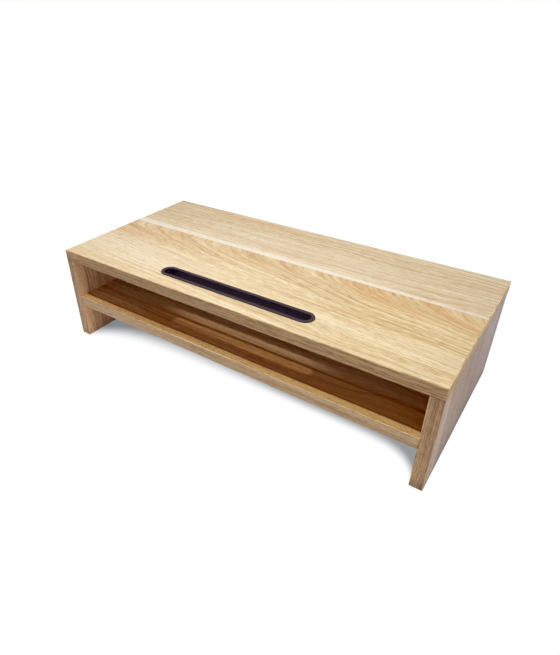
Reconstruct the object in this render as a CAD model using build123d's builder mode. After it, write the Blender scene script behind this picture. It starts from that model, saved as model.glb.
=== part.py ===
from build123d import *
import os

# A two-tier monitor riser of laminated board. A top panel rests on two side panels, and a shelf hangs
# between them. Wooden dowels locate the joints and cam locks pull them tight. A plastic insert lines the
# phone slot, which goes right through the top panel. X runs to the right, Y to the back and Z up; the
# origin is at the centre of the footprint, on the surface that the riser stands on. Millimetres.

# Driving dimensions of the furniture
WIDTH = 540.0
DEPTH = 252.0
BOARD = 15.0  # thickness of all four panels
LOWER_BAY = 53.5  # clear height below the shelf, from the side panels' bottoms
UPPER_BAY = 55.5  # clear height above the shelf
BACK_OVERHANG = 5.0  # how far the top panel reaches past the sides and the shelf
BAND = 1.0  # thickness of the plastic edge bands
BAND_ROUND = 0.8  # rounding of the bands' outer corners
PAD_HEIGHT = 1.0
PAD_RADIUS = 5.5
PAD_INSET = 14.0  # from the ends of a side panel to the centre of its pads

# Phone slot and its insert
SLOT_SETBACK = 34.0  # from the front edge to the slot's centre line
SLOT_LENGTH = 216.0
SLOT_WIDTH = 14.4
INSERT_WALL = 1.8
INSERT_FIT = 0.2  # gap all round between the insert and the board
FLANGE_LIP = 4.4  # from the slot's wall to the flange's outer edge
FLANGE_PROUD = 1.4  # height of the flange above the top panel
REBATE = 0.6  # depth of the recess that the flange lies in
FLANGE_INNER_ROUND = 1.4
FLANGE_OUTER_ROUND = 0.8
CRUSH_RIB_RADIUS = 0.6
CRUSH_RIB_PROUD = 0.25  # more than the gap, so that the ribs bite into the board
CRUSH_RIB_SPACING = 40.0
CRUSH_RIB_COUNT = 5  # on each long side

# Cam locks and the bolts that they pull
CAM_SETBACK = 24.0  # from the joint face to the cam's axis
CAM_SPREAD = 73.0  # from the middle of a joint to each cam, along Y
CAM_RADIUS = 7.4
CAM_HEIGHT = 12.0
CAM_BORE_RADIUS = 7.5
CAM_BORE_DEPTH = 12.6
CAM_SINK = 0.2  # the cam's face lies this far below the board's face
CAM_CHAMFER = 0.5
CHAMBER_RADIUS = 5.4
CHAMBER_OFFSET = 0.6  # the chamber is off centre, so that turning the cam draws the bolt in
CHAMBER_HEIGHT = 7.4
NECK_GROOVE = 4.4
NECK_CLEARANCE = 0.3
GROOVE_REACH = 20.0  # runs the groove and the bolt's way past the cam on every side
ENTRY_RADIUS = 3.5
DRIVE_LENGTH = 8.0
DRIVE_WIDTH = 1.4
DRIVE_DEPTH = 2.2
ARROW_SIZE = 0.9
ARROW_SETBACK = 1.2  # from the chamfer to the arrow's middle
ARROW_DEPTH = 0.4

BOLT_SHAFT_RADIUS = 3.5
BOLT_NECK_RADIUS = 2.0
BOLT_HEAD_RADIUS = 3.2
BOLT_SHAFT_LENGTH = 16.0
BOLT_NECK_LENGTH = 3.9
BOLT_HEAD_CYLINDER = 1.4
BOLT_HEAD_CHAMFER = 0.6
BOLT_RECESS_WIDTH = 0.9
BOLT_RECESS_LENGTH = 3.6
BOLT_RECESS_DEPTH = 1.5
THREAD_ROOT_RADIUS = 2.3
THREAD_CREST_RADIUS = 3.0
THREAD_LENGTH = 11.0
THREAD_RIDGES = 5
THREAD_FLANK = 0.8  # share of the pitch over which a ridge rises
BOLT_SHAFT_BORE_RADIUS = 3.6
BOLT_PILOT_RADIUS = 3.0  # the hole as the thread has cut it
BOLT_PILOT_DEPTH = 11.5

# Dowels
DOWEL_RADIUS = 4.0
DOWEL_BORE_RADIUS = 4.05
DOWEL_SPREAD = 105.0  # from the middle of a joint to each dowel, along Y
DOWEL_IN_FACE = 10.0
DOWEL_IN_EDGE = 20.0
DOWEL_BORE_SPARE = 0.5
DOWEL_CHAMFER = 0.8
FLUTES = 12
FLUTE_RADIUS = 0.35

# Places worked out from the dimensions above
SIDE_BOTTOM = PAD_HEIGHT
SHELF_UNDERSIDE = SIDE_BOTTOM + LOWER_BAY
SHELF_SURFACE = SHELF_UNDERSIDE + BOARD
TOP_UNDERSIDE = SHELF_SURFACE + UPPER_BAY
TOP_SURFACE = TOP_UNDERSIDE + BOARD
FRONT = -DEPTH / 2
BACK = DEPTH / 2
SIDE_BACK = BACK - BACK_OVERHANG
SIDE_DEPTH = SIDE_BACK - FRONT
SIDE_MIDDLE = (FRONT + SIDE_BACK) / 2
INNER_HALF_WIDTH = WIDTH / 2 - BOARD
SLOT_CENTRE = FRONT + SLOT_SETBACK
BOARD_MIDDLE = BOARD / 2

SIDES = {"left": -1, "right": 1}
ENDS = {"front": -1, "back": 1}

os.makedirs("parts", exist_ok=True)


def write(builder, name):
    """Label a finished piece and write it to its own file."""
    builder.part.label = name
    export_step(builder.part, f"parts/{name}.step")


def drill(points, outward, radius, depth):
    """Sink a blind round hole at each point. outward is the way out of the hole."""
    with Locations(*[Plane(origin=point, z_dir=outward) for point in points]):
        Hole(radius=radius, depth=depth)


def slot_plane(height):
    """A level plane with its origin on the phone slot's middle."""
    return Plane(origin=(0, SLOT_CENTRE, height))


def along_joint(spread, x, z):
    """The two points of a joint, spread either side of the side panels' middle."""
    return [(x, SIDE_MIDDLE + end * spread, z) for end in ENDS.values()]


# ---------------------------------------------------------------- panels
def top_panel():
    """The top board, with the phone slot's cut-out and the underside's bores."""
    with BuildPart() as panel:
        with BuildSketch(Plane.XY.offset(TOP_UNDERSIDE)):
            Rectangle(WIDTH - 2 * BAND, DEPTH - 2 * BAND)
        extrude(amount=BOARD)

        cutout_growth = 2 * (INSERT_WALL + INSERT_FIT)
        with BuildSketch(slot_plane(TOP_SURFACE)):
            SlotOverall(SLOT_LENGTH + cutout_growth, SLOT_WIDTH + cutout_growth)
        extrude(amount=-BOARD, mode=Mode.SUBTRACT)

        rebate_growth = 2 * (FLANGE_LIP + INSERT_FIT)
        with BuildSketch(slot_plane(TOP_SURFACE)):
            SlotOverall(SLOT_LENGTH + rebate_growth, SLOT_WIDTH + rebate_growth)
        extrude(amount=-REBATE, mode=Mode.SUBTRACT)

        for side in SIDES.values():
            joint_x = side * (WIDTH / 2 - BOARD_MIDDLE)
            bolts = along_joint(CAM_SPREAD, joint_x, TOP_UNDERSIDE)
            dowels = along_joint(DOWEL_SPREAD, joint_x, TOP_UNDERSIDE)
            drill(bolts, (0, 0, -1), BOLT_PILOT_RADIUS, BOLT_PILOT_DEPTH)
            drill(dowels, (0, 0, -1), DOWEL_BORE_RADIUS, DOWEL_IN_FACE + DOWEL_BORE_SPARE)
    return panel


def side_panel(side):
    """One side board. side is -1 for the left and 1 for the right."""
    middle_x = side * (WIDTH / 2 - BOARD_MIDDLE)
    inner_x = side * INNER_HALF_WIDTH
    inward = (-side, 0, 0)
    shelf_middle = SHELF_UNDERSIDE + BOARD_MIDDLE
    cam_z = TOP_UNDERSIDE - CAM_SETBACK
    with BuildPart() as panel:
        with BuildSketch(Plane.XY.offset(SIDE_BOTTOM + BAND)):
            with Locations((middle_x, SIDE_MIDDLE)):
                Rectangle(BOARD, SIDE_DEPTH - 2 * BAND)
        extrude(amount=TOP_UNDERSIDE - SIDE_BOTTOM - BAND)

        bolts = along_joint(CAM_SPREAD, middle_x, TOP_UNDERSIDE)
        dowels = along_joint(DOWEL_SPREAD, middle_x, TOP_UNDERSIDE)
        cams = along_joint(CAM_SPREAD, inner_x, cam_z)
        drill(bolts, (0, 0, 1), BOLT_SHAFT_BORE_RADIUS, CAM_SETBACK)
        drill(dowels, (0, 0, 1), DOWEL_BORE_RADIUS, DOWEL_IN_EDGE + DOWEL_BORE_SPARE)
        drill(cams, inward, CAM_BORE_RADIUS, CAM_BORE_DEPTH)

        shelf_bolts = along_joint(CAM_SPREAD, inner_x, shelf_middle)
        shelf_dowels = along_joint(DOWEL_SPREAD, inner_x, shelf_middle)
        drill(shelf_bolts, inward, BOLT_PILOT_RADIUS, BOLT_PILOT_DEPTH)
        drill(shelf_dowels, inward, DOWEL_BORE_RADIUS, DOWEL_IN_FACE + DOWEL_BORE_SPARE)
    return panel


def shelf_panel():
    """The shelf between the sides. Its cam locks sit in its underside."""
    with BuildPart() as panel:
        with BuildSketch(Plane.XY.offset(SHELF_UNDERSIDE)):
            with Locations((0, SIDE_MIDDLE)):
                Rectangle(2 * INNER_HALF_WIDTH, SIDE_DEPTH - 2 * BAND)
        extrude(amount=BOARD)

        for side in SIDES.values():
            end_x = side * INNER_HALF_WIDTH
            cam_x = side * (INNER_HALF_WIDTH - CAM_SETBACK)
            middle_z = SHELF_UNDERSIDE + BOARD_MIDDLE
            outward = (side, 0, 0)
            bolts = along_joint(CAM_SPREAD, end_x, middle_z)
            dowels = along_joint(DOWEL_SPREAD, end_x, middle_z)
            cams = along_joint(CAM_SPREAD, cam_x, SHELF_UNDERSIDE)
            drill(bolts, outward, BOLT_SHAFT_BORE_RADIUS, CAM_SETBACK)
            drill(dowels, outward, DOWEL_BORE_RADIUS, DOWEL_IN_EDGE + DOWEL_BORE_SPARE)
            drill(cams, (0, 0, -1), CAM_BORE_RADIUS, CAM_BORE_DEPTH)
    return panel


# ---------------------------------------------------------------- edge bands
def edge_band(low, high, outward, rounded_end=None):
    """A strip of edge band between two opposite corners of its box.

    outward is the axis that its visible face looks along. The visible face's long edges are rounded, and
    so are its short edges that lie furthest along rounded_end, or both of them if it is "both".
    """
    size = [top - bottom for bottom, top in zip(low, high)]
    centre = [(top + bottom) / 2 for bottom, top in zip(low, high)]
    with BuildPart(Plane(origin=centre)) as band:
        Box(*size)
        edges = band.faces().sort_by(outward)[-1].edges().sort_by(SortBy.LENGTH)
        short_edges = edges[:2]
        long_edges = edges[2:]
        if rounded_end is None:
            short_edges = []
        elif rounded_end != "both":
            short_edges = short_edges.sort_by(rounded_end)[-1:]
        fillet([*long_edges, *short_edges], BAND_ROUND)
    return band


def top_bands():
    """The four bands round the top panel. The front and back ones cover the ends of the other two."""
    half = WIDTH / 2
    front = Axis((0, 0, 0), (0, -1, 0))
    back = Axis((0, 0, 0), (0, 1, 0))
    write(
        edge_band((-half, FRONT, TOP_UNDERSIDE), (half, FRONT + BAND, TOP_SURFACE), front, "both"),
        "top_front_edge_band",
    )
    write(
        edge_band((-half, BACK - BAND, TOP_UNDERSIDE), (half, BACK, TOP_SURFACE), back, "both"),
        "top_back_edge_band",
    )
    for name, side in SIDES.items():
        outer_x = side * half
        inner_x = side * (half - BAND)
        low = (min(outer_x, inner_x), FRONT + BAND, TOP_UNDERSIDE)
        high = (max(outer_x, inner_x), BACK - BAND, TOP_SURFACE)
        outward = Axis((0, 0, 0), (side, 0, 0))
        write(edge_band(low, high, outward), f"top_{name}_edge_band")


def shelf_bands():
    """The bands on the shelf's front and back edges."""
    front = Axis((0, 0, 0), (0, -1, 0))
    back = Axis((0, 0, 0), (0, 1, 0))
    low_front = (-INNER_HALF_WIDTH, FRONT, SHELF_UNDERSIDE)
    high_front = (INNER_HALF_WIDTH, FRONT + BAND, SHELF_SURFACE)
    low_back = (-INNER_HALF_WIDTH, SIDE_BACK - BAND, SHELF_UNDERSIDE)
    high_back = (INNER_HALF_WIDTH, SIDE_BACK, SHELF_SURFACE)
    write(edge_band(low_front, high_front, front), "shelf_front_edge_band")
    write(edge_band(low_back, high_back, back), "shelf_back_edge_band")


def side_bands(name, side):
    """The front, back and bottom bands of one side panel."""
    outer_x = side * WIDTH / 2
    inner_x = side * INNER_HALF_WIDTH
    low_x = min(outer_x, inner_x)
    high_x = max(outer_x, inner_x)
    down = Axis((0, 0, 0), (0, 0, -1))
    front = Axis((0, 0, 0), (0, -1, 0))
    back = Axis((0, 0, 0), (0, 1, 0))
    write(
        edge_band((low_x, FRONT, SIDE_BOTTOM), (high_x, FRONT + BAND, TOP_UNDERSIDE), front, down),
        f"{name}_side_front_edge_band",
    )
    write(
        edge_band((low_x, SIDE_BACK - BAND, SIDE_BOTTOM), (high_x, SIDE_BACK, TOP_UNDERSIDE), back, down),
        f"{name}_side_back_edge_band",
    )
    low = (low_x, FRONT + BAND, SIDE_BOTTOM)
    high = (high_x, SIDE_BACK - BAND, SIDE_BOTTOM + BAND)
    write(edge_band(low, high, down), f"{name}_side_bottom_edge_band")


# ---------------------------------------------------------------- phone slot
def slot_insert():
    """The plastic liner of the phone slot: a flange on top of an open sleeve with crush ribs."""
    sleeve_bottom = TOP_UNDERSIDE + INSERT_FIT
    flange_bottom = TOP_SURFACE - REBATE
    flange_top = TOP_SURFACE + FLANGE_PROUD
    sleeve_width = SLOT_WIDTH + 2 * INSERT_WALL
    rib_middle = CRUSH_RIB_RADIUS - CRUSH_RIB_PROUD
    with BuildPart() as insert:
        with BuildSketch(slot_plane(sleeve_bottom)):
            SlotOverall(SLOT_LENGTH + 2 * INSERT_WALL, sleeve_width)
            with GridLocations(CRUSH_RIB_SPACING, sleeve_width - 2 * rib_middle, CRUSH_RIB_COUNT, 2):
                Circle(CRUSH_RIB_RADIUS)
        extrude(amount=flange_bottom - sleeve_bottom)

        with BuildSketch(slot_plane(flange_bottom)):
            SlotOverall(SLOT_LENGTH + 2 * FLANGE_LIP, SLOT_WIDTH + 2 * FLANGE_LIP)
        extrude(amount=flange_top - flange_bottom)
        fillet(insert.faces().sort_by(Axis.Z)[-1].edges(), FLANGE_OUTER_ROUND)

        with BuildSketch(slot_plane(flange_top)):
            SlotOverall(SLOT_LENGTH, SLOT_WIDTH)
        extrude(amount=sleeve_bottom - flange_top, mode=Mode.SUBTRACT)
        fillet(insert.faces().sort_by(Axis.Z)[-1].inner_wires()[0].edges(), FLANGE_INNER_ROUND)
    return insert


# ---------------------------------------------------------------- cam locks and bolts
def cam_seat(joint, side, end):
    """The plane of a cam's place: origin on the board's face, X towards the bolt, Z out of the board."""
    y = SIDE_MIDDLE + end * CAM_SPREAD
    if joint == "top":
        origin = (side * INNER_HALF_WIDTH, y, TOP_UNDERSIDE - CAM_SETBACK)
        return Plane(origin=origin, x_dir=(0, 0, 1), z_dir=(-side, 0, 0))
    origin = (side * (INNER_HALF_WIDTH - CAM_SETBACK), y, SHELF_UNDERSIDE)
    return Plane(origin=origin, x_dir=(side, 0, 0), z_dir=(0, 0, -1))


def cam_lock(seat):
    """A cam drawn locked. Half a turn anticlockwise brings its entry hole to the bolt."""
    face = seat.offset(-CAM_SINK)
    bolt_level = seat.offset(-BOARD_MIDDLE)
    with BuildPart() as cam:
        with BuildSketch(face):
            Circle(CAM_RADIUS)
        extrude(amount=-CAM_HEIGHT)
        chamfer(cam.edges().filter_by(GeomType.CIRCLE), CAM_CHAMFER)

        # The chamber that the bolt's head turns in
        with BuildSketch(bolt_level.offset(-CHAMBER_HEIGHT / 2)):
            with Locations((-CHAMBER_OFFSET, -CHAMBER_OFFSET)):
                Circle(CHAMBER_RADIUS)
        extrude(amount=CHAMBER_HEIGHT, mode=Mode.SUBTRACT)

        # The groove that the bolt's neck passes through in half a turn
        groove_edge = BOLT_NECK_RADIUS + NECK_CLEARANCE
        with BuildSketch(bolt_level.offset(-NECK_GROOVE / 2)):
            with Locations((0, groove_edge)):
                Rectangle(GROOVE_REACH, GROOVE_REACH, align=(Align.CENTER, Align.MAX))
        extrude(amount=NECK_GROOVE, mode=Mode.SUBTRACT)

        # The hole that lets the bolt's head in when the cam is open
        entry = Plane(origin=bolt_level.origin, x_dir=seat.z_dir, z_dir=-seat.x_dir)
        with BuildSketch(entry):
            Circle(ENTRY_RADIUS)
        extrude(amount=GROOVE_REACH, mode=Mode.SUBTRACT)

        # A cross recess for the screwdriver, and an arrow that points to the bolt
        with BuildSketch(face):
            Rectangle(DRIVE_LENGTH, DRIVE_WIDTH)
            Rectangle(DRIVE_WIDTH, DRIVE_LENGTH)
        extrude(amount=-DRIVE_DEPTH, mode=Mode.SUBTRACT)
        with BuildSketch(face):
            with Locations((CAM_RADIUS - CAM_CHAMFER - ARROW_SETBACK, 0)):
                RegularPolygon(ARROW_SIZE, 3)
        extrude(amount=-ARROW_DEPTH, mode=Mode.SUBTRACT)
    return cam


def bolt_outline():
    """Half a bolt's profile, from the tip of its thread to its head: (distance along, radius)."""
    pitch = THREAD_LENGTH / THREAD_RIDGES
    points = [(-THREAD_LENGTH, 0)]
    for ridge in range(THREAD_RIDGES):
        start = -THREAD_LENGTH + ridge * pitch
        points.append((start, THREAD_ROOT_RADIUS))
        points.append((start + pitch * THREAD_FLANK, THREAD_CREST_RADIUS))
    points.append((0, THREAD_ROOT_RADIUS))
    neck_end = BOLT_SHAFT_LENGTH + BOLT_NECK_LENGTH
    cone_end = neck_end + BOLT_HEAD_RADIUS - BOLT_NECK_RADIUS
    head_end = cone_end + BOLT_HEAD_CYLINDER
    points += [
        (0, BOLT_SHAFT_RADIUS),
        (BOLT_SHAFT_LENGTH, BOLT_SHAFT_RADIUS),
        (BOLT_SHAFT_LENGTH, BOLT_NECK_RADIUS),
        (neck_end, BOLT_NECK_RADIUS),
        (cone_end, BOLT_HEAD_RADIUS),
        (head_end, BOLT_HEAD_RADIUS),
        (head_end + BOLT_HEAD_CHAMFER, BOLT_HEAD_RADIUS - BOLT_HEAD_CHAMFER),
        (head_end + BOLT_HEAD_CHAMFER, 0),
    ]
    return points


def cam_bolt():
    """One bolt at the origin. It lies along X, with its thread on the -X side of the joint's face."""
    outline = bolt_outline()
    tip = outline[-1][0]
    with BuildPart() as bolt:
        with BuildSketch(Plane.XY):
            with BuildLine():
                Polyline(*outline, close=True)
            make_face()
        revolve(axis=Axis.X)
        with BuildSketch(Plane.YZ.offset(tip)):
            Rectangle(BOLT_RECESS_LENGTH, BOLT_RECESS_WIDTH)
            Rectangle(BOLT_RECESS_WIDTH, BOLT_RECESS_LENGTH)
        extrude(amount=-BOLT_RECESS_DEPTH, mode=Mode.SUBTRACT)
    return bolt


# ---------------------------------------------------------------- dowels and pads
def fluted_dowel():
    """One dowel at the origin. It lies along X, with its short end on the -X side of the joint's face."""
    with BuildPart() as dowel:
        with BuildSketch(Plane.YZ.offset(-DOWEL_IN_FACE)):
            Circle(DOWEL_RADIUS)
        extrude(amount=DOWEL_IN_FACE + DOWEL_IN_EDGE)
        chamfer(dowel.edges().filter_by(GeomType.CIRCLE), DOWEL_CHAMFER)
        with BuildSketch(Plane.YZ.offset(-DOWEL_IN_FACE)):
            with PolarLocations(DOWEL_RADIUS, FLUTES):
                Circle(FLUTE_RADIUS)
        extrude(amount=DOWEL_IN_FACE + DOWEL_IN_EDGE, mode=Mode.SUBTRACT)
    return dowel


def joint_planes(joint, spread):
    """The planes of one joint's fasteners. Each has its origin on the joint and X into the drilled edge."""
    planes = []
    for side in SIDES.values():
        if joint == "top":
            points = along_joint(spread, side * (WIDTH / 2 - BOARD_MIDDLE), TOP_UNDERSIDE)
            into_edge = (0, 0, -1)
        else:
            points = along_joint(spread, side * INNER_HALF_WIDTH, SHELF_UNDERSIDE + BOARD_MIDDLE)
            into_edge = (-side, 0, 0)
        planes += [Plane(origin=point, x_dir=into_edge, z_dir=(0, 1, 0)) for point in points]
    return planes


def fastener_set(fastener, planes):
    """Copies of one fastener, as separate solids, one on each plane."""
    with BuildPart() as group:
        with Locations(*planes):
            add(fastener.part)
    return group


def foot_pad(side, end):
    """A thin round pad stuck under a side panel, near its front or back end."""
    x = side * (WIDTH / 2 - BOARD_MIDDLE)
    y = SIDE_MIDDLE + end * (SIDE_DEPTH / 2 - PAD_INSET)
    with BuildPart() as pad:
        with BuildSketch(Plane.XY):
            with Locations((x, y)):
                Circle(PAD_RADIUS)
        extrude(amount=PAD_HEIGHT)
    return pad


write(top_panel(), "top_panel")
write(shelf_panel(), "shelf_panel")
write(slot_insert(), "slot_insert")
top_bands()
shelf_bands()
for side_name, side_sign in SIDES.items():
    write(side_panel(side_sign), f"{side_name}_side_panel")
    side_bands(side_name, side_sign)
    for end_name, end_sign in ENDS.items():
        write(foot_pad(side_sign, end_sign), f"{side_name}_{end_name}_foot_pad")
for joint_name in ("top", "shelf"):
    write(fastener_set(cam_bolt(), joint_planes(joint_name, CAM_SPREAD)), f"{joint_name}_joint_cam_bolts")
    write(fastener_set(fluted_dowel(), joint_planes(joint_name, DOWEL_SPREAD)), f"{joint_name}_joint_dowels")
    for side_name, side_sign in SIDES.items():
        for end_name, end_sign in ENDS.items():
            lock = cam_lock(cam_seat(joint_name, side_sign, end_sign))
            write(lock, f"{joint_name}_{side_name}_{end_name}_cam_lock")
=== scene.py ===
import math

import bpy
from mathutils import Matrix, Vector

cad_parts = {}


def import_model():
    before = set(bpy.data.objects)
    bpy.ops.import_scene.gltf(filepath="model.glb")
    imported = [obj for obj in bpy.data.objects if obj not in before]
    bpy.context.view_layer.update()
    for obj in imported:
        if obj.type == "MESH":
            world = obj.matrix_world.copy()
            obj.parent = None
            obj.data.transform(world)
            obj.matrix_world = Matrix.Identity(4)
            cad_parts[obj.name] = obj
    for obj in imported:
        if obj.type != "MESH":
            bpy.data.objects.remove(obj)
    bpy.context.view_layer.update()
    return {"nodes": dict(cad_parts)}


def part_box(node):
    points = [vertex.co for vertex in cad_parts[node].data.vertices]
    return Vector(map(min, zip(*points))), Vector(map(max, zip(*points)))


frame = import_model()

# Looks for a two-tier monitor riser of wood-look laminated board. The shapes come from the frame.
# Blender works in metres. The prints and finishes are laid out in millimetres, as Graph.place() gives them.
MM = 0.001

TOP_LOW, TOP_HIGH = (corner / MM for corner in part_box("top_panel"))
SHELF_LOW, SHELF_HIGH = (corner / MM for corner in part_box("shelf_panel"))
SIDE_LOW, SIDE_HIGH = (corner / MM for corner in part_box("right_side_panel"))


# ---------------------------------------------------------------- node helpers
def paint(red, green, blue):
    """A linear colour from screen values of 0 to 255."""
    screen = [channel / 255 for channel in (red, green, blue)]
    channels = [c / 12.92 if c <= 0.04045 else ((c + 0.055) / 1.055) ** 2.4 for c in screen]
    return (*channels, 1.0)


def linear(red, green, blue):
    """A colour whose values are linear already."""
    return (red, green, blue, 1.0)


class Field:
    """A value that varies over a surface. Sums written with it are built as nodes."""

    def __init__(self, graph, socket):
        self.graph = graph
        self.socket = socket

    def __add__(self, other):
        return self.graph.math("ADD", self, other)

    def __sub__(self, other):
        return self.graph.math("SUBTRACT", self, other)

    def __rsub__(self, other):
        return self.graph.math("SUBTRACT", other, self)

    def __mul__(self, other):
        return self.graph.math("MULTIPLY", self, other)

    def __truediv__(self, other):
        return self.graph.math("DIVIDE", self, other)

    def __abs__(self):
        return self.graph.math("ABSOLUTE", self)

    __radd__ = __add__
    __rmul__ = __mul__


class Graph:
    """One material's node tree, with short names for the nodes used here."""

    def __init__(self, name):
        self.material = bpy.data.materials.new(name)
        self.material.use_nodes = True
        self.tree = self.material.node_tree
        self.tree.nodes.clear()
        self.coordinates = self.node("ShaderNodeTexCoord")

    def node(self, kind, **settings):
        made = self.tree.nodes.new(kind)
        for name, value in settings.items():
            setattr(made, name, value)
        return made

    def feed(self, socket, value):
        """Links a field to a socket, or sets a plain value on it."""
        if isinstance(value, Field):
            self.tree.links.new(value.socket, socket)
        else:
            socket.default_value = value

    def math(self, operation, *values):
        made = self.node("ShaderNodeMath", operation=operation)
        for socket, value in zip(made.inputs, values):
            self.feed(socket, value)
        return Field(self, made.outputs[0])

    def split(self, output):
        made = self.node("ShaderNodeSeparateXYZ")
        self.tree.links.new(self.coordinates.outputs[output], made.inputs[0])
        return [Field(self, socket) for socket in made.outputs]

    def place(self):
        """Where the point lies in the row frame: x, y and z in millimetres."""
        return [axis * (1 / MM) for axis in self.split("Object")]

    def normal(self):
        return self.split("Normal")

    def noise(self, x, y, z, detail, roughness=0.5):
        """Smooth noise from about -1 to 1, one lump for each unit of the coordinates."""
        corner = self.node("ShaderNodeCombineXYZ")
        for socket, value in zip(corner.inputs, (x, y, z)):
            self.feed(socket, value)
        made = self.node("ShaderNodeTexNoise")
        made.inputs["Scale"].default_value = 1.0
        made.inputs["Detail"].default_value = detail
        made.inputs["Roughness"].default_value = roughness
        self.tree.links.new(corner.outputs[0], made.inputs["Vector"])
        return Field(self, made.outputs["Fac"]) * 4.0 - 2.0

    def grain(self, along, across, depth, long, wide, detail=1.0, roughness=0.5):
        """Noise in lumps that are long and wide as given, in millimetres. Each depth has other lumps."""
        return self.noise(along / long, across / wide, depth, detail, roughness)

    def lumps(self, length, width, height, detail):
        """Noise in lumps of the size given along x, y and z, in millimetres."""
        x, y, z = self.place()
        return self.noise(x / length, y / width, z / height, detail)

    def step(self, value, low, high):
        """0 below low, 1 above high and smooth between them."""
        made = self.node("ShaderNodeMapRange", interpolation_type="SMOOTHSTEP")
        for name, given in (("Value", value), ("From Min", low), ("From Max", high)):
            self.feed(made.inputs[name], given)
        return Field(self, made.outputs["Result"])

    def band(self, value, low, high, blur):
        """1 between low and high and 0 outside them. Each edge blurs that far to both sides."""
        return self.step(value, low - blur, low + blur) * (1.0 - self.step(value, high - blur, high + blur))

    def mix(self, share, first, second, blend="MIX"):
        """The first colour at share 0 and the second at share 1."""
        made = self.node("ShaderNodeMix", data_type="RGBA", blend_type=blend, clamp_factor=True)
        for index, value in ((0, share), (6, first), (7, second)):
            self.feed(made.inputs[index], value)
        return Field(self, made.outputs[2])

    def tint(self, share, colour, factors):
        """A colour with its red, green and blue multiplied by factors, as far as share goes."""
        return self.mix(share, colour, linear(*factors), "MULTIPLY")

    def shade(self, colour, amount):
        """A colour made brighter or darker by an amount around 0."""
        made = self.node("ShaderNodeVectorMath", operation="SCALE")
        self.feed(made.inputs[0], colour)
        self.feed(made.inputs["Scale"], amount + 1.0)
        return Field(self, made.outputs[0])

    def surface(self, colour, roughness, relief, specular=0.5, metallic=0.0):
        """Finishes the material. relief is the surface's height in millimetres."""
        shader = self.node("ShaderNodeBsdfPrincipled")
        self.feed(shader.inputs["Base Color"], colour)
        self.feed(shader.inputs["Roughness"], roughness)
        shader.inputs["Metallic"].default_value = metallic
        shader.inputs["Specular IOR Level"].default_value = specular
        bump = self.node("ShaderNodeBump")
        bump.inputs["Distance"].default_value = MM
        self.feed(bump.inputs["Height"], relief)
        self.tree.links.new(bump.outputs[0], shader.inputs["Normal"])
        output = self.node("ShaderNodeOutputMaterial")
        self.tree.links.new(shader.outputs[0], output.inputs["Surface"])
        return self.material


# ---------------------------------------------------------------- wood prints
RING_SHARE = 0.25  # how far each kind of line takes the print from its light tone to its dark one
HAIR_SHARE = 0.36
FLECK_SHARE = 0.21
BROAD_SHARE = 0.10
WARM_SHARE = 0.30
PORE_SHADE = -0.15
ARRIS_HIGHLIGHT = 0.75  # how much brighter the arrises are painted, a painted highlight
LAMINATE_ROUGHNESS = 0.44


def wood(graph, along, across, depth, tones, figure=1.0, edit=None):
    """A wood print under a matt laminate. along runs with the grain and across over it.

    depth tells the faces of a board apart, and each layer adds its own number to it, to differ from the
    others. tones are the print's light, dark and warm colours, figure is the strength of its lines, and
    edit changes the colour before the pores go in.
    """
    light, dark, warm = tones
    bow = graph.grain(along, across, depth + 5.0, long=110.0, wide=38.0)
    bent = across + bow * 1.3
    broad = graph.grain(along, bent, depth, long=330.0, wide=16.0)
    rings = graph.grain(along, bent, depth + 9.0, long=260.0, wide=4.0)
    ring_lines = 1.0 - graph.step(abs(rings), 0.05, 0.50)
    hairs = graph.grain(along, bent, depth + 17.0, long=170.0, wide=1.5, roughness=0.6)
    flecks = graph.grain(along, bent, depth + 41.0, long=11.0, wide=1.2, detail=0.0)
    dots = graph.grain(along, across, depth + 23.0, long=6.0, wide=1.0, detail=0.0)
    pores = graph.step(dots, 0.30, 1.0)

    lines = ring_lines * RING_SHARE + hairs * HAIR_SHARE + flecks * FLECK_SHARE
    middle = 0.38 - figure * 0.07
    darkness = broad * BROAD_SHARE + lines * figure + middle
    colour = graph.mix(darkness, light, dark)
    warmth = graph.grain(along, bent, depth + 31.0, long=230.0, wide=21.0)
    colour = graph.mix(graph.step(warmth, 0.1, 1.2) * WARM_SHARE, colour, warm)
    if edit is not None:
        colour = edit(colour)
    colour = graph.shade(colour, pores * figure * PORE_SHADE)
    # Painted highlight: the rounded arrises, where the normal leans away from every axis, are made brighter.
    facing = graph.math("MAXIMUM", *(abs(axis) for axis in graph.normal()[:2]))
    facing = graph.math("MAXIMUM", facing, abs(graph.normal()[2]))
    arris_highlight = 1.0 - graph.step(facing, 0.80, 0.985)
    colour = graph.shade(colour, arris_highlight * ARRIS_HIGHLIGHT)

    relief = ring_lines * -0.010 + hairs * 0.008 - pores * 0.035
    smear = graph.grain(along, across, depth + 77.0, long=60.0, wide=45.0, detail=3.0)
    roughness = smear * 0.035 + pores * 0.12 + ring_lines * 0.03 + LAMINATE_ROUGHNESS
    return graph.surface(colour, roughness, relief)


PLANK_JOINT = 108.0  # from the top's back edge to the line where its two printed planks meet
ARCH = 15.0  # the front plank's arches are parabolas; this is how wide they open, in millimetres
ARCH_TIP = 5.0  # how far past the top's right end the arches' common point lies
PLANK_SHIFT = 300.0  # takes the front plank's grain from another stretch of the noise
# Streaks that follow the arches: where each begins and ends at the joint, from the left, and its share.
TAN_STREAKS = ((44, 66, 0.10), (152, 196, 0.14), (274, 294, 0.16), (330, 342, 0.24))
PEACH_STREAKS = ((358, 420, 0.50), (458, 505, 0.38))


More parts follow.
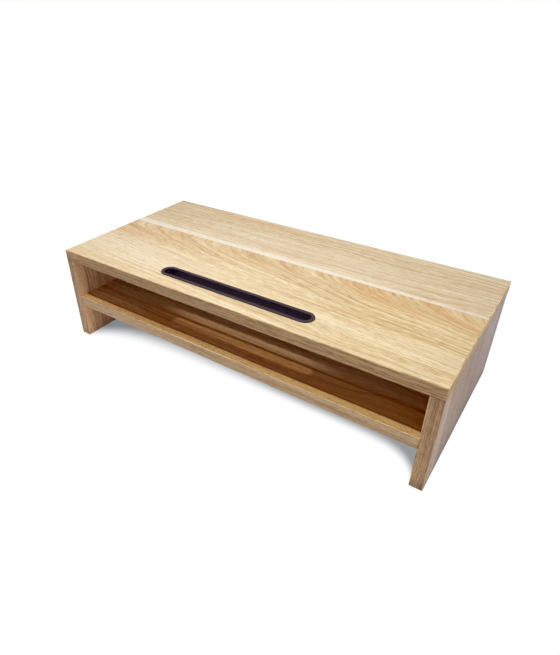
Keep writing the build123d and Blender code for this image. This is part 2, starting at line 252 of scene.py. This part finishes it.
def top_laminate():
    """Two printed planks: a straight-grained one behind, and one with arches that open to the right."""
    graph = Graph("top_laminate")
    x, y, z = graph.place()
    length = TOP_HIGH.x - TOP_LOW.x
    from_left = x - TOP_LOW.x
    from_back = TOP_HIGH.y - y
    front = from_back - PLANK_JOINT
    on_front = graph.step(front, -0.3, 0.3)
    on_back = 1.0 - on_front

    sway = graph.grain(from_left, from_back, 4.0, long=150.0, wide=55.0)
    drift = graph.grain(from_left, from_back, 9.0, long=45.0, wide=14.0)
    straight = from_back + sway * 5.0 + drift * 0.9
    reach = graph.math("MAXIMUM", front + sway * 2.0 + drift * 0.8, 0.0)
    from_tip = length + ARCH_TIP - from_left + sway * 8.0
    arch = graph.math("SQRT", reach * reach + from_tip * ARCH)
    across = straight + (arch - straight + PLANK_SHIFT) * on_front
    spring = from_left + sway * 8.0 - reach * reach * (1 / ARCH)  # where this point's arch starts

    arc_noise = graph.noise(arch / 2.6, from_left / 400.0, 61.0, detail=1.0)
    arcs = 1.0 - graph.step(abs(arc_noise), 0.03, 0.22)

    tan = paint(212, 172, 118)
    brown = paint(190, 146, 92)
    peach = paint(216, 170, 116)
    rose = paint(222, 172, 132)
    pale = paint(236, 222, 196)
    cream = paint(238, 228, 208)

    def near_joint(reach_end):
        return on_front * (1.0 - graph.step(front, reach_end * 0.35, reach_end))

    def streaks(colour, rows, blur, reach_end, streak_colour):
        for first, last, share in rows:
            streak = graph.band(spring, first, last, blur) * near_joint(reach_end)
            colour = graph.mix(streak * share, colour, streak_colour)
        return colour

    def edit(colour):
        colour = graph.tint(on_back, colour, (0.93, 0.945, 1.0))
        back_flame = graph.band(straight, 4.0, 19.0, 5.0) * graph.band(from_left, 80.0, 235.0, 50.0)
        colour = graph.mix(back_flame * 0.40, colour, peach)
        calm = graph.band(straight, 44.0, 96.0, 9.0) * graph.band(from_left, 120.0, 430.0, 60.0)
        colour = graph.mix(calm * 0.25, colour, pale)
        colour = streaks(colour, TAN_STREAKS, 8.0, 46.0, tan)
        colour = streaks(colour, PEACH_STREAKS, 7.0, 60.0, peach)
        colour = graph.mix(arcs * near_joint(60.0) * 0.46, colour, brown)
        left = 1.0 - graph.step(from_left, 20.0, 150.0)
        rosy_left = graph.band(front, 28.0, 50.0, 7.0) * left
        colour = graph.mix(rosy_left * 0.34, colour, rose)
        far_left = 1.0 - graph.step(from_left, 120.0, 330.0)
        pale_left = graph.band(front, 60.0, 118.0, 16.0) * far_left
        colour = graph.mix(pale_left * 0.42, colour, pale)
        pale_right = graph.band(front, 88.0, 116.0, 9.0) * graph.step(from_left, 330.0, 400.0)
        colour = graph.mix(pale_right * 0.36, colour, pale)
        pale_edge = graph.step(front, 124.0, 144.0)
        colour = graph.mix(pale_edge * 0.22, colour, pale)

        # The cream stripe behind the joint is 12.3 mm wide at the left. It narrows and fades to the right.
        stripe_edge = from_left * 0.0135 + (PLANK_JOINT - 12.3) + sway * 0.8
        stripe = graph.step(from_back, stripe_edge - 2.0, stripe_edge + 1.6) * on_back
        stripe = stripe * (0.92 - graph.step(from_left, 380.0, 540.0) * 0.35)
        colour = graph.mix(stripe, colour, cream)
        golden = on_front * graph.step(from_left, 300.0, 470.0)
        colour = graph.tint(golden, colour, (0.99, 0.97, 0.89))
        off_centre = (x - 20.0) * (2.0 / length)
        return graph.shade(colour, off_centre * off_centre * -0.09)

    tones = (paint(240, 223, 182), paint(196, 162, 110), peach)
    crisp = on_front * graph.step(from_left, 280.0, 440.0)
    figure = 1.0 - on_front * 0.12 - near_joint(50.0) * 0.28 + crisp * 0.24
    return wood(graph, from_left, across, z / 40.0, tones, figure=figure, edit=edit)


def shelf_laminate():
    """A darker board with bold streaks, wavier toward its right end. A pale strip along its front is painted
    light, and the print behind it is darkened by painted shade.
    """
    graph = Graph("shelf_laminate")
    x, y, z = graph.place()
    sway = graph.grain(x, y, 14.0, long=150.0, wide=46.0)
    right = graph.step(x, 20.0, 150.0)
    across = y + sway * (right * 12.0 + 4.0)
    bold = graph.grain(x, across, 55.0, long=240.0, wide=8.0)
    deep = paint(134, 82, 52)
    pale = paint(226, 190, 122)
    from_front = y + sway * 0.8 - SHELF_LOW.y
    # Painted light: the pale strip along the front, where light reaches in under the top.
    strip = 1.0 - graph.step(from_front, 7.6, 9.2)

    def edit(colour):
        colour = graph.mix(graph.step(bold, 0.15, 0.9) * 0.38, colour, deep)
        # Painted light: behind the front strip, the left end is made lighter and bluer.
        lit_left = (1.0 - graph.step(x, -190.0, -110.0)) * graph.step(from_front, 11.0, 15.0)
        colour = graph.tint(lit_left, colour, (1.05, 1.14, 1.30))
        # Painted shade: from 9.5 to 25.5 mm behind the front the print is darker and more golden, except at
        # the left end.
        golden = graph.band(from_front, 9.5, 25.5, 1.5) * (1.0 - lit_left)
        colour = graph.tint(golden, colour, (0.91, 0.84, 0.74))
        grey = graph.step(from_front, 40.0, 48.0)
        colour = graph.tint(grey, colour, (0.97, 1.10, 1.28))
        colour = graph.tint(grey * right, colour, (1.14, 1.20, 1.28))
        # Painted shadow: a dark yellowed edge just behind the lit strip. Painted shade from 36 mm back, with
        # a darker line from 36 to 40 mm.
        shadow_behind_strip = graph.band(from_front, 8.8, 12.0, 0.8)
        colour = graph.tint(shadow_behind_strip, colour, (0.98, 0.95, 0.72))
        shade_back = graph.step(from_front, 36.0, 39.0)
        dark_line = graph.band(from_front, 36.4, 40.2, 0.8)
        colour = graph.mix(shadow_behind_strip * 0.50 + shade_back * 0.22 + dark_line * 0.32, colour, deep)
        # Painted light: the front strip is mixed toward pale, more so toward the right.
        return graph.mix(strip * (right * 0.30 + 0.40), colour, pale)

    tones = (paint(208, 164, 108), paint(160, 108, 66), paint(188, 122, 68))
    # The grain shows stronger in the painted lit strip, and calmer toward the right.
    figure = strip * 1.6 + (1.2 - right * 0.45)
    return wood(graph, x, across, z / 40.0 + 11.0, tones, figure, edit)


SAPWOOD = 27.0  # width of the lighter strip down the front of a side's outer face
INNER_SAPWOOD = 12.5  # the same on its inner face


def side_laminate():
    """Upright grain, with a lighter strip down the front of each face."""
    graph = Graph("side_laminate")
    x, y, z = graph.place()
    sway = graph.grain(z, y, 24.0, long=110.0, wide=40.0)
    drift = graph.grain(z, y, 29.0, long=30.0, wide=9.0)
    across = y + sway * 2.5 + drift * 0.5
    from_front = across - SIDE_LOW.y
    outside = graph.step(abs(x), SIDE_HIGH.x - 5.0, SIDE_HIGH.x - 4.0)
    inside = 1.0 - outside
    width = outside * (SAPWOOD - INNER_SAPWOOD) + INNER_SAPWOOD
    pale = paint(232, 206, 172)
    line = paint(120, 82, 50)
    upper_bay = graph.step(z, SHELF_LOW.z, SHELF_HIGH.z)

    def edit(colour):
        strip = 1.0 - graph.step(from_front, width - 1.5, width + 0.5)
        colour = graph.mix(strip * (0.60 - outside * 0.10), colour, pale)
        dark_line = graph.band(from_front, width - 0.4, width + 1.6, 0.6) * inside
        colour = graph.mix(dark_line * (0.04 + upper_bay * 0.42), colour, line)

        # Painted shade: the outer faces are darkened, as a shaded copy of the same print.
        colour = graph.tint(outside, colour, (0.84, 0.825, 0.875))
        # Painted sheen: the back of the outer face is lighter and bluer, most toward its top.
        sheen_height = graph.step(z, 60.0, 115.0) * 0.6 + 0.4
        sheen_back = outside * graph.step(from_front, 140.0, 200.0) * sheen_height
        colour = graph.tint(sheen_back, colour, (1.12, 1.22, 1.48))
        # Painted warm reflection on the upper front of the outer face.
        warm_reflection = outside * graph.step(z, 84.0, 112.0) * (1.0 - graph.step(from_front, 60.0, 120.0))
        colour = graph.tint(warm_reflection, colour, (0.99, 0.93, 0.80))
        # Painted warm bounce light: the inner faces are made warmer.
        colour = graph.tint(inside, colour, (1.08, 0.95, 0.80))

        bright_stripe = graph.band(from_front, 13.0, 25.0, 2.5) * outside * 0.13
        # Painted bounce light: the inner face is brighter in the lower bay, most near its front.
        bounce_light_bay = (1.0 - upper_bay) * inside * (0.36 - graph.step(from_front, 0.0, 30.0) * 0.22)
        # Darker towards the foot.
        darker_foot = (1.0 - graph.step(z + sway * 2.0, 4.0, 15.0)) * -0.18
        # The outer face is darker in its middle and near its back.
        darker_middle = graph.step(from_front, 30.0, 110.0) * -0.09
        darker_back = graph.step(from_front, 205.0, 240.0) * -0.12
        face = outside * (darker_middle + darker_back + 0.03)
        return graph.shade(colour, bright_stripe + bounce_light_bay + darker_foot + face)

    tones = (paint(216, 192, 162), paint(178, 142, 106), paint(196, 152, 118))
    return wood(graph, z, across, x / 40.0 + 23.0, tones, figure=1.35, edit=edit)


def edge_band(name, along_axis, light, dark, figure, edit=None):
    """The plastic band on a cut edge. Its print runs along the band, on axis 0, 1 or 2 for x, y or z."""
    graph = Graph(f"edge_band_{name}")
    place = graph.place()
    along = place.pop(along_axis)
    across, depth = place
    middle = tuple((one + other) / 2 for one, other in zip(light, dark))
    tones = (light, dark, middle)
    finish = None if edit is None else lambda colour: edit(graph, colour)
    return wood(graph, along, across + depth, depth / 40.0 + 40.0 + along_axis, tones, figure, finish)


def upright_tones_and_painted_light(graph, colour):
    """A golden right leg that is darker towards its foot, and a bluer left leg. Painted shade makes the left
    leg's upper part darker and warmer and darkens both just under the top, and a painted highlight brightens
    the bands' inner sides.
    """
    x, y, z = graph.place()
    right = graph.step(x, -10.0, 10.0)
    left = 1.0 - right
    colour = graph.tint(right, colour, (1.0, 0.99, 0.91))
    colour = graph.tint(left, colour, (1.0, 1.0, 1.05))
    # Painted shade: the left leg's upper part is darker and warmer.
    head_shade = graph.step(z, 62.0, 92.0) * left
    colour = graph.tint(head_shade, colour, (0.965, 0.93, 0.91))
    # Painted highlight on the bands' inner sides.
    sideways = graph.step(abs(graph.normal()[0]), 0.6, 0.9)
    inner = sideways * (1.0 - graph.step(abs(x), SIDE_HIGH.x - 7.0, SIDE_HIGH.x - 6.0))
    # Darker towards the right leg's foot.
    foot_darkening = (1.0 - graph.step(z, 2.0, 18.0)) * right
    # Painted shade just under the top.
    shade_under_top = graph.step(z, 110.0, 122.0)
    return graph.shade(colour, inner * 0.42 - foot_darkening * 0.22 - shade_under_top * 0.10)


def top_band_tones(graph, colour):
    """A lighter left end to the top's long bands, and a darker stretch beside it."""
    x = graph.place()[0]
    left_end = 1.0 - graph.step(x, -250.0, -222.0)
    colour = graph.tint(left_end, colour, (1.0, 1.0, 1.06))
    left_half = graph.band(x, -208.0, 12.0, 14.0)
    return graph.shade(colour, left_end * 0.13 - left_half * 0.08)


# ---------------------------------------------------------------- fittings
def slot_plastic():
    graph = Graph("slot_plastic")
    z = graph.place()[2]
    grain = graph.lumps(0.9, 0.9, 0.9, detail=2.0)
    cloud = graph.lumps(40.0, 12.0, 12.0, detail=3.0)
    black = linear(0.056, 0.039, 0.041)
    faded = linear(0.080, 0.059, 0.057)
    sleeve_tone = linear(0.080, 0.065, 0.062)
    colour = graph.mix(cloud * 0.3 + 0.5, black, faded)
    # The sleeve's inner walls below the flange's top are a lighter colour.
    sleeve = 1.0 - graph.step(z, TOP_HIGH.z - 2.5, TOP_HIGH.z - 0.5)
    colour = graph.mix(sleeve, colour, sleeve_tone)
    return graph.surface(colour, roughness=cloud * 0.05 + 0.48, relief=grain * 0.008, specular=0.25)


def cast_zinc():
    graph = Graph("cam_zinc")
    cloud = graph.lumps(5.0, 5.0, 5.0, detail=4.0)
    grain = graph.lumps(0.5, 0.5, 0.5, detail=2.0)
    colour = graph.mix(cloud * 0.5 + 0.5, linear(0.42, 0.42, 0.41), linear(0.62, 0.62, 0.60))
    return graph.surface(colour, roughness=0.42 + cloud * 0.08, relief=grain * 0.01, metallic=1.0)


def bolt_steel():
    graph = Graph("bolt_steel")
    cloud = graph.lumps(4.0, 4.0, 4.0, detail=4.0)
    colour = graph.mix(cloud * 0.5 + 0.5, linear(0.58, 0.58, 0.57), linear(0.72, 0.71, 0.68))
    return graph.surface(colour, roughness=0.28 + cloud * 0.06, relief=cloud * 0.004, metallic=1.0)


def dowel_beech():
    graph = Graph("dowel_beech")
    fleck = graph.lumps(3.0, 0.8, 3.0, detail=3.0)
    colour = graph.mix(fleck * 0.4 + 0.5, paint(222, 184, 140), paint(196, 148, 102))
    return graph.surface(colour, roughness=0.62, relief=fleck * 0.02, specular=0.3)


def foot_pad():
    graph = Graph("foot_pad")
    cells = graph.lumps(0.6, 0.6, 0.6, detail=3.0)
    colour = graph.mix(cells * 0.4 + 0.5, linear(0.050, 0.050, 0.044), linear(0.085, 0.083, 0.074))
    return graph.surface(colour, roughness=0.85, relief=cells * 0.05, specular=0.2)


def dress():
    """Gives every node of the frame its material, by the ending of its name."""
    along_x, along_y, along_z = range(3)
    golden = (paint(211, 183, 131), paint(176, 139, 87))
    greyish = (paint(189, 159, 121), paint(149, 114, 77))
    brown = (paint(183, 153, 108), paint(140, 106, 65))
    light = (paint(202, 174, 135), paint(165, 130, 88))
    ends = edge_band("ends", along_y, *golden, figure=1.4)
    uprights = edge_band("uprights", along_z, *greyish, figure=1.8, edit=upright_tones_and_painted_light)
    top_fronts = edge_band("top_fronts", along_x, *brown, figure=1.6, edit=top_band_tones)
    shelf_fronts = edge_band("shelf_fronts", along_x, *light, figure=1.2)
    by_ending = {
        "top_panel": top_laminate(),
        "shelf_panel": shelf_laminate(),
        "side_panel": side_laminate(),
        "slot_insert": slot_plastic(),
        "cam_lock": cast_zinc(),
        "cam_bolts": bolt_steel(),
        "dowels": dowel_beech(),
        "foot_pad": foot_pad(),
        "top_left_edge_band": ends,
        "top_right_edge_band": ends,
        "bottom_edge_band": ends,
        "top_front_edge_band": top_fronts,
        "top_back_edge_band": top_fronts,
        "shelf_front_edge_band": shelf_fronts,
        "shelf_back_edge_band": shelf_fronts,
        "side_front_edge_band": uprights,
        "side_back_edge_band": uprights,
    }
    for name, piece in frame["nodes"].items():
        material = next(made for ending, made in by_ending.items() if name.endswith(ending))
        piece.data.materials.clear()
        piece.data.materials.append(material)


# ---------------------------------------------------------------- studio
WHITE = linear(1.0, 1.0, 1.0)
BLACK_POINT = (0.025, 0.024, 0.015)  # linear red, green and blue that show as black
FLOOR_HALF = 12.0  # metres
FLOOR_DROP = 0.00005  # metres, so that the floor and the pads' undersides don't coincide
FLOOR_BOUNCE = linear(0.70, 0.70, 0.71)
FLOOR_SHADE = linear(0.25, 0.26, 0.27)
SKY = linear(1.0, 0.95, 1.0)
SKY_STRENGTH = 0.53


def floor():
    """A wide floor that shows pure white, with a soft shade on it under the riser.

    The camera sees a plain glow, and every other ray a diffuse floor that bounces less light than that.
    """
    corners = [(-1, -1), (1, -1), (1, 1), (-1, 1)]
    mesh = bpy.data.meshes.new("studio_floor")
    mesh.from_pydata([(x * FLOOR_HALF, y * FLOOR_HALF, -FLOOR_DROP) for x, y in corners], [], [(0, 1, 2, 3)])
    plane = bpy.data.objects.new("studio_floor", mesh)
    bpy.context.scene.collection.objects.link(plane)

    graph = Graph("studio_floor")
    seen = graph.node("ShaderNodeEmission")
    graph.feed(seen.inputs["Color"], graph.mix(shade_under_riser(graph), WHITE, FLOOR_SHADE))
    bounce = graph.node("ShaderNodeBsdfDiffuse")
    bounce.inputs["Color"].default_value = FLOOR_BOUNCE
    output = graph.node("ShaderNodeOutputMaterial")
    by_ray(graph.tree, bounce, seen, output)
    mesh.materials.append(graph.material)


def shade_under_riser(graph):
    """How dark the floor shows: most in the middle and beside the legs, and wider beside the left one."""
    x, y = graph.place()[:2]
    leg = SIDE_LOW.x
    under = graph.math("MINIMUM", y - SIDE_LOW.y, SIDE_HIGH.y - y)
    right = graph.step(x, -150.0, 100.0)
    leg_fade = 50.0 - right * 31.0
    leg_share = 0.55 + right * 0.45
    beside_leg = graph.math("EXPONENT", (abs(x) - leg) / leg_fade) * leg_share
    depth_fade = 73.0 - right * 37.0
    depth = (under - 44.0) / depth_fade
    between_legs = 1.0 - graph.step(abs(x), leg + 1.0, leg + 7.0)
    return graph.step(depth + beside_leg, -0.17, 0.42) * between_legs * (1.0 - right * 0.10)


def by_ray(tree, others, camera_rays, output):
    """Shows one shader to the camera and another to all other rays."""
    path = tree.nodes.new("ShaderNodeLightPath")
    chosen = tree.nodes.new("ShaderNodeMixShader")
    tree.links.new(path.outputs["Is Camera Ray"], chosen.inputs[0])
    tree.links.new(others.outputs[0], chosen.inputs[1])
    tree.links.new(camera_rays.outputs[0], chosen.inputs[2])
    tree.links.new(chosen.outputs[0], output.inputs["Surface"])


def background(tree, colour, strength):
    made = tree.nodes.new("ShaderNodeBackground")
    made.inputs["Color"].default_value = colour
    made.inputs["Strength"].default_value = strength
    return made


def world():
    """Even light from all round, behind which the camera sees pure white."""
    scene = bpy.context.scene
    scene.world = bpy.data.worlds.new("studio")
    scene.world.use_nodes = True
    tree = scene.world.node_tree
    tree.nodes.clear()
    sky = background(tree, SKY, SKY_STRENGTH)
    white = background(tree, WHITE, 1.0)
    output = tree.nodes.new("ShaderNodeOutputWorld")
    by_ray(tree, sky, white, output)


def aim(thing, place, target):
    """Puts a light at a place and points it at a target, both in metres."""
    thing.location = place
    thing.rotation_euler = (Vector(target) - Vector(place)).to_track_quat("-Z", "Y").to_euler()


def sun(name, elevation, azimuth, strength, spread, colour):
    """A light from far away. Azimuth 0 is the front and 90 the right; spread is its size in degrees."""
    lamp = bpy.data.lights.new(name, "SUN")
    lamp.energy = strength * math.pi
    lamp.angle = math.radians(spread)
    lamp.color = colour
    thing = bpy.data.objects.new(name, lamp)
    bpy.context.scene.collection.objects.link(thing)
    tilt, turn = math.radians(elevation), math.radians(azimuth)
    flat = math.cos(tilt)
    aim(thing, (math.sin(turn) * flat, -math.cos(turn) * flat, math.sin(tilt)), (0, 0, 0))


def panel(name, place, target, watts, size, colour):
    """A flat rectangular light at a place, aimed at a target. Places and sizes are in metres."""
    data = bpy.data.lights.new(name, "AREA")
    data.shape = "RECTANGLE"
    data.size, data.size_y = size
    data.energy = watts
    data.color = colour
    thing = bpy.data.objects.new(name, data)
    bpy.context.scene.collection.objects.link(thing)
    aim(thing, place, target)


def lights():
    """A narrow light and a small sun that reach the shelf through the slot, and two soft panels."""
    strip_x = -0.105
    strip_y = TOP_LOW.y * MM + 0.03
    shelf = SHELF_HIGH.z * MM
    height = 0.8
    lean = math.tan(math.radians(90.0 - 78.0))
    panel(
        "front_strip",
        place=(strip_x, strip_y - lean * height, shelf + height),
        target=(strip_x, strip_y, shelf),
        watts=3.5,
        size=(0.9, 0.035),
        colour=(0.92, 0.97, 1.0),
    )
    sun("overhead", elevation=82.0, azimuth=-108.0, strength=0.19, spread=2.0, colour=(1.0, 0.90, 0.68))
    panel(
        "cool_side",
        place=(1.6, 1.2, 0.9),
        target=(0.27, 0.0, 0.08),
        watts=10.0,
        size=(1.2, 1.2),
        colour=(0.55, 0.76, 1.0),
    )
    panel(
        "front_fill",
        place=(0.3, -2.0, 0.35),
        target=(0.0, 0.0, 0.07),
        watts=5.0,
        size=(2.5, 0.8),
        colour=(1.0, 1.0, 1.0),
    )


def camera():
    """The viewing angle: from the front right and above, with the whole riser in view."""
    data = bpy.data.cameras.new("camera")
    data.sensor_width = 36.0
    data.lens = 27.94
    data.shift_x = 0.0475
    data.shift_y = 0.0012
    data.clip_start = 0.01
    data.clip_end = 1000.0
    thing = bpy.data.objects.new("camera", data)
    bpy.context.scene.collection.objects.link(thing)
    eye = Vector((0.3283, -0.5181, 0.4389))
    azimuth, elevation, roll = (math.radians(angle) for angle in (35.495, 33.119, -0.634))
    flat = math.cos(elevation)
    back = Vector((math.sin(azimuth) * flat, -math.cos(azimuth) * flat, math.sin(elevation)))
    turn = back.to_track_quat("Z", "Y").to_matrix() @ Matrix.Rotation(roll, 3, "Z")
    thing.matrix_world = Matrix.Translation(eye) @ turn.to_4x4()
    bpy.context.scene.camera = thing


def grade():
    """Plain colours, with a black point slightly above zero for deep shadows."""
    settings = bpy.context.scene.view_settings
    settings.view_transform = "Standard"
    settings.use_curve_mapping = True
    curve = settings.curve_mapping
    curve.black_level = BLACK_POINT
    curve.white_level = (1.0, 1.0, 1.0)
    curve.update()


dress()
floor()
world()
lights()
camera()
grade()
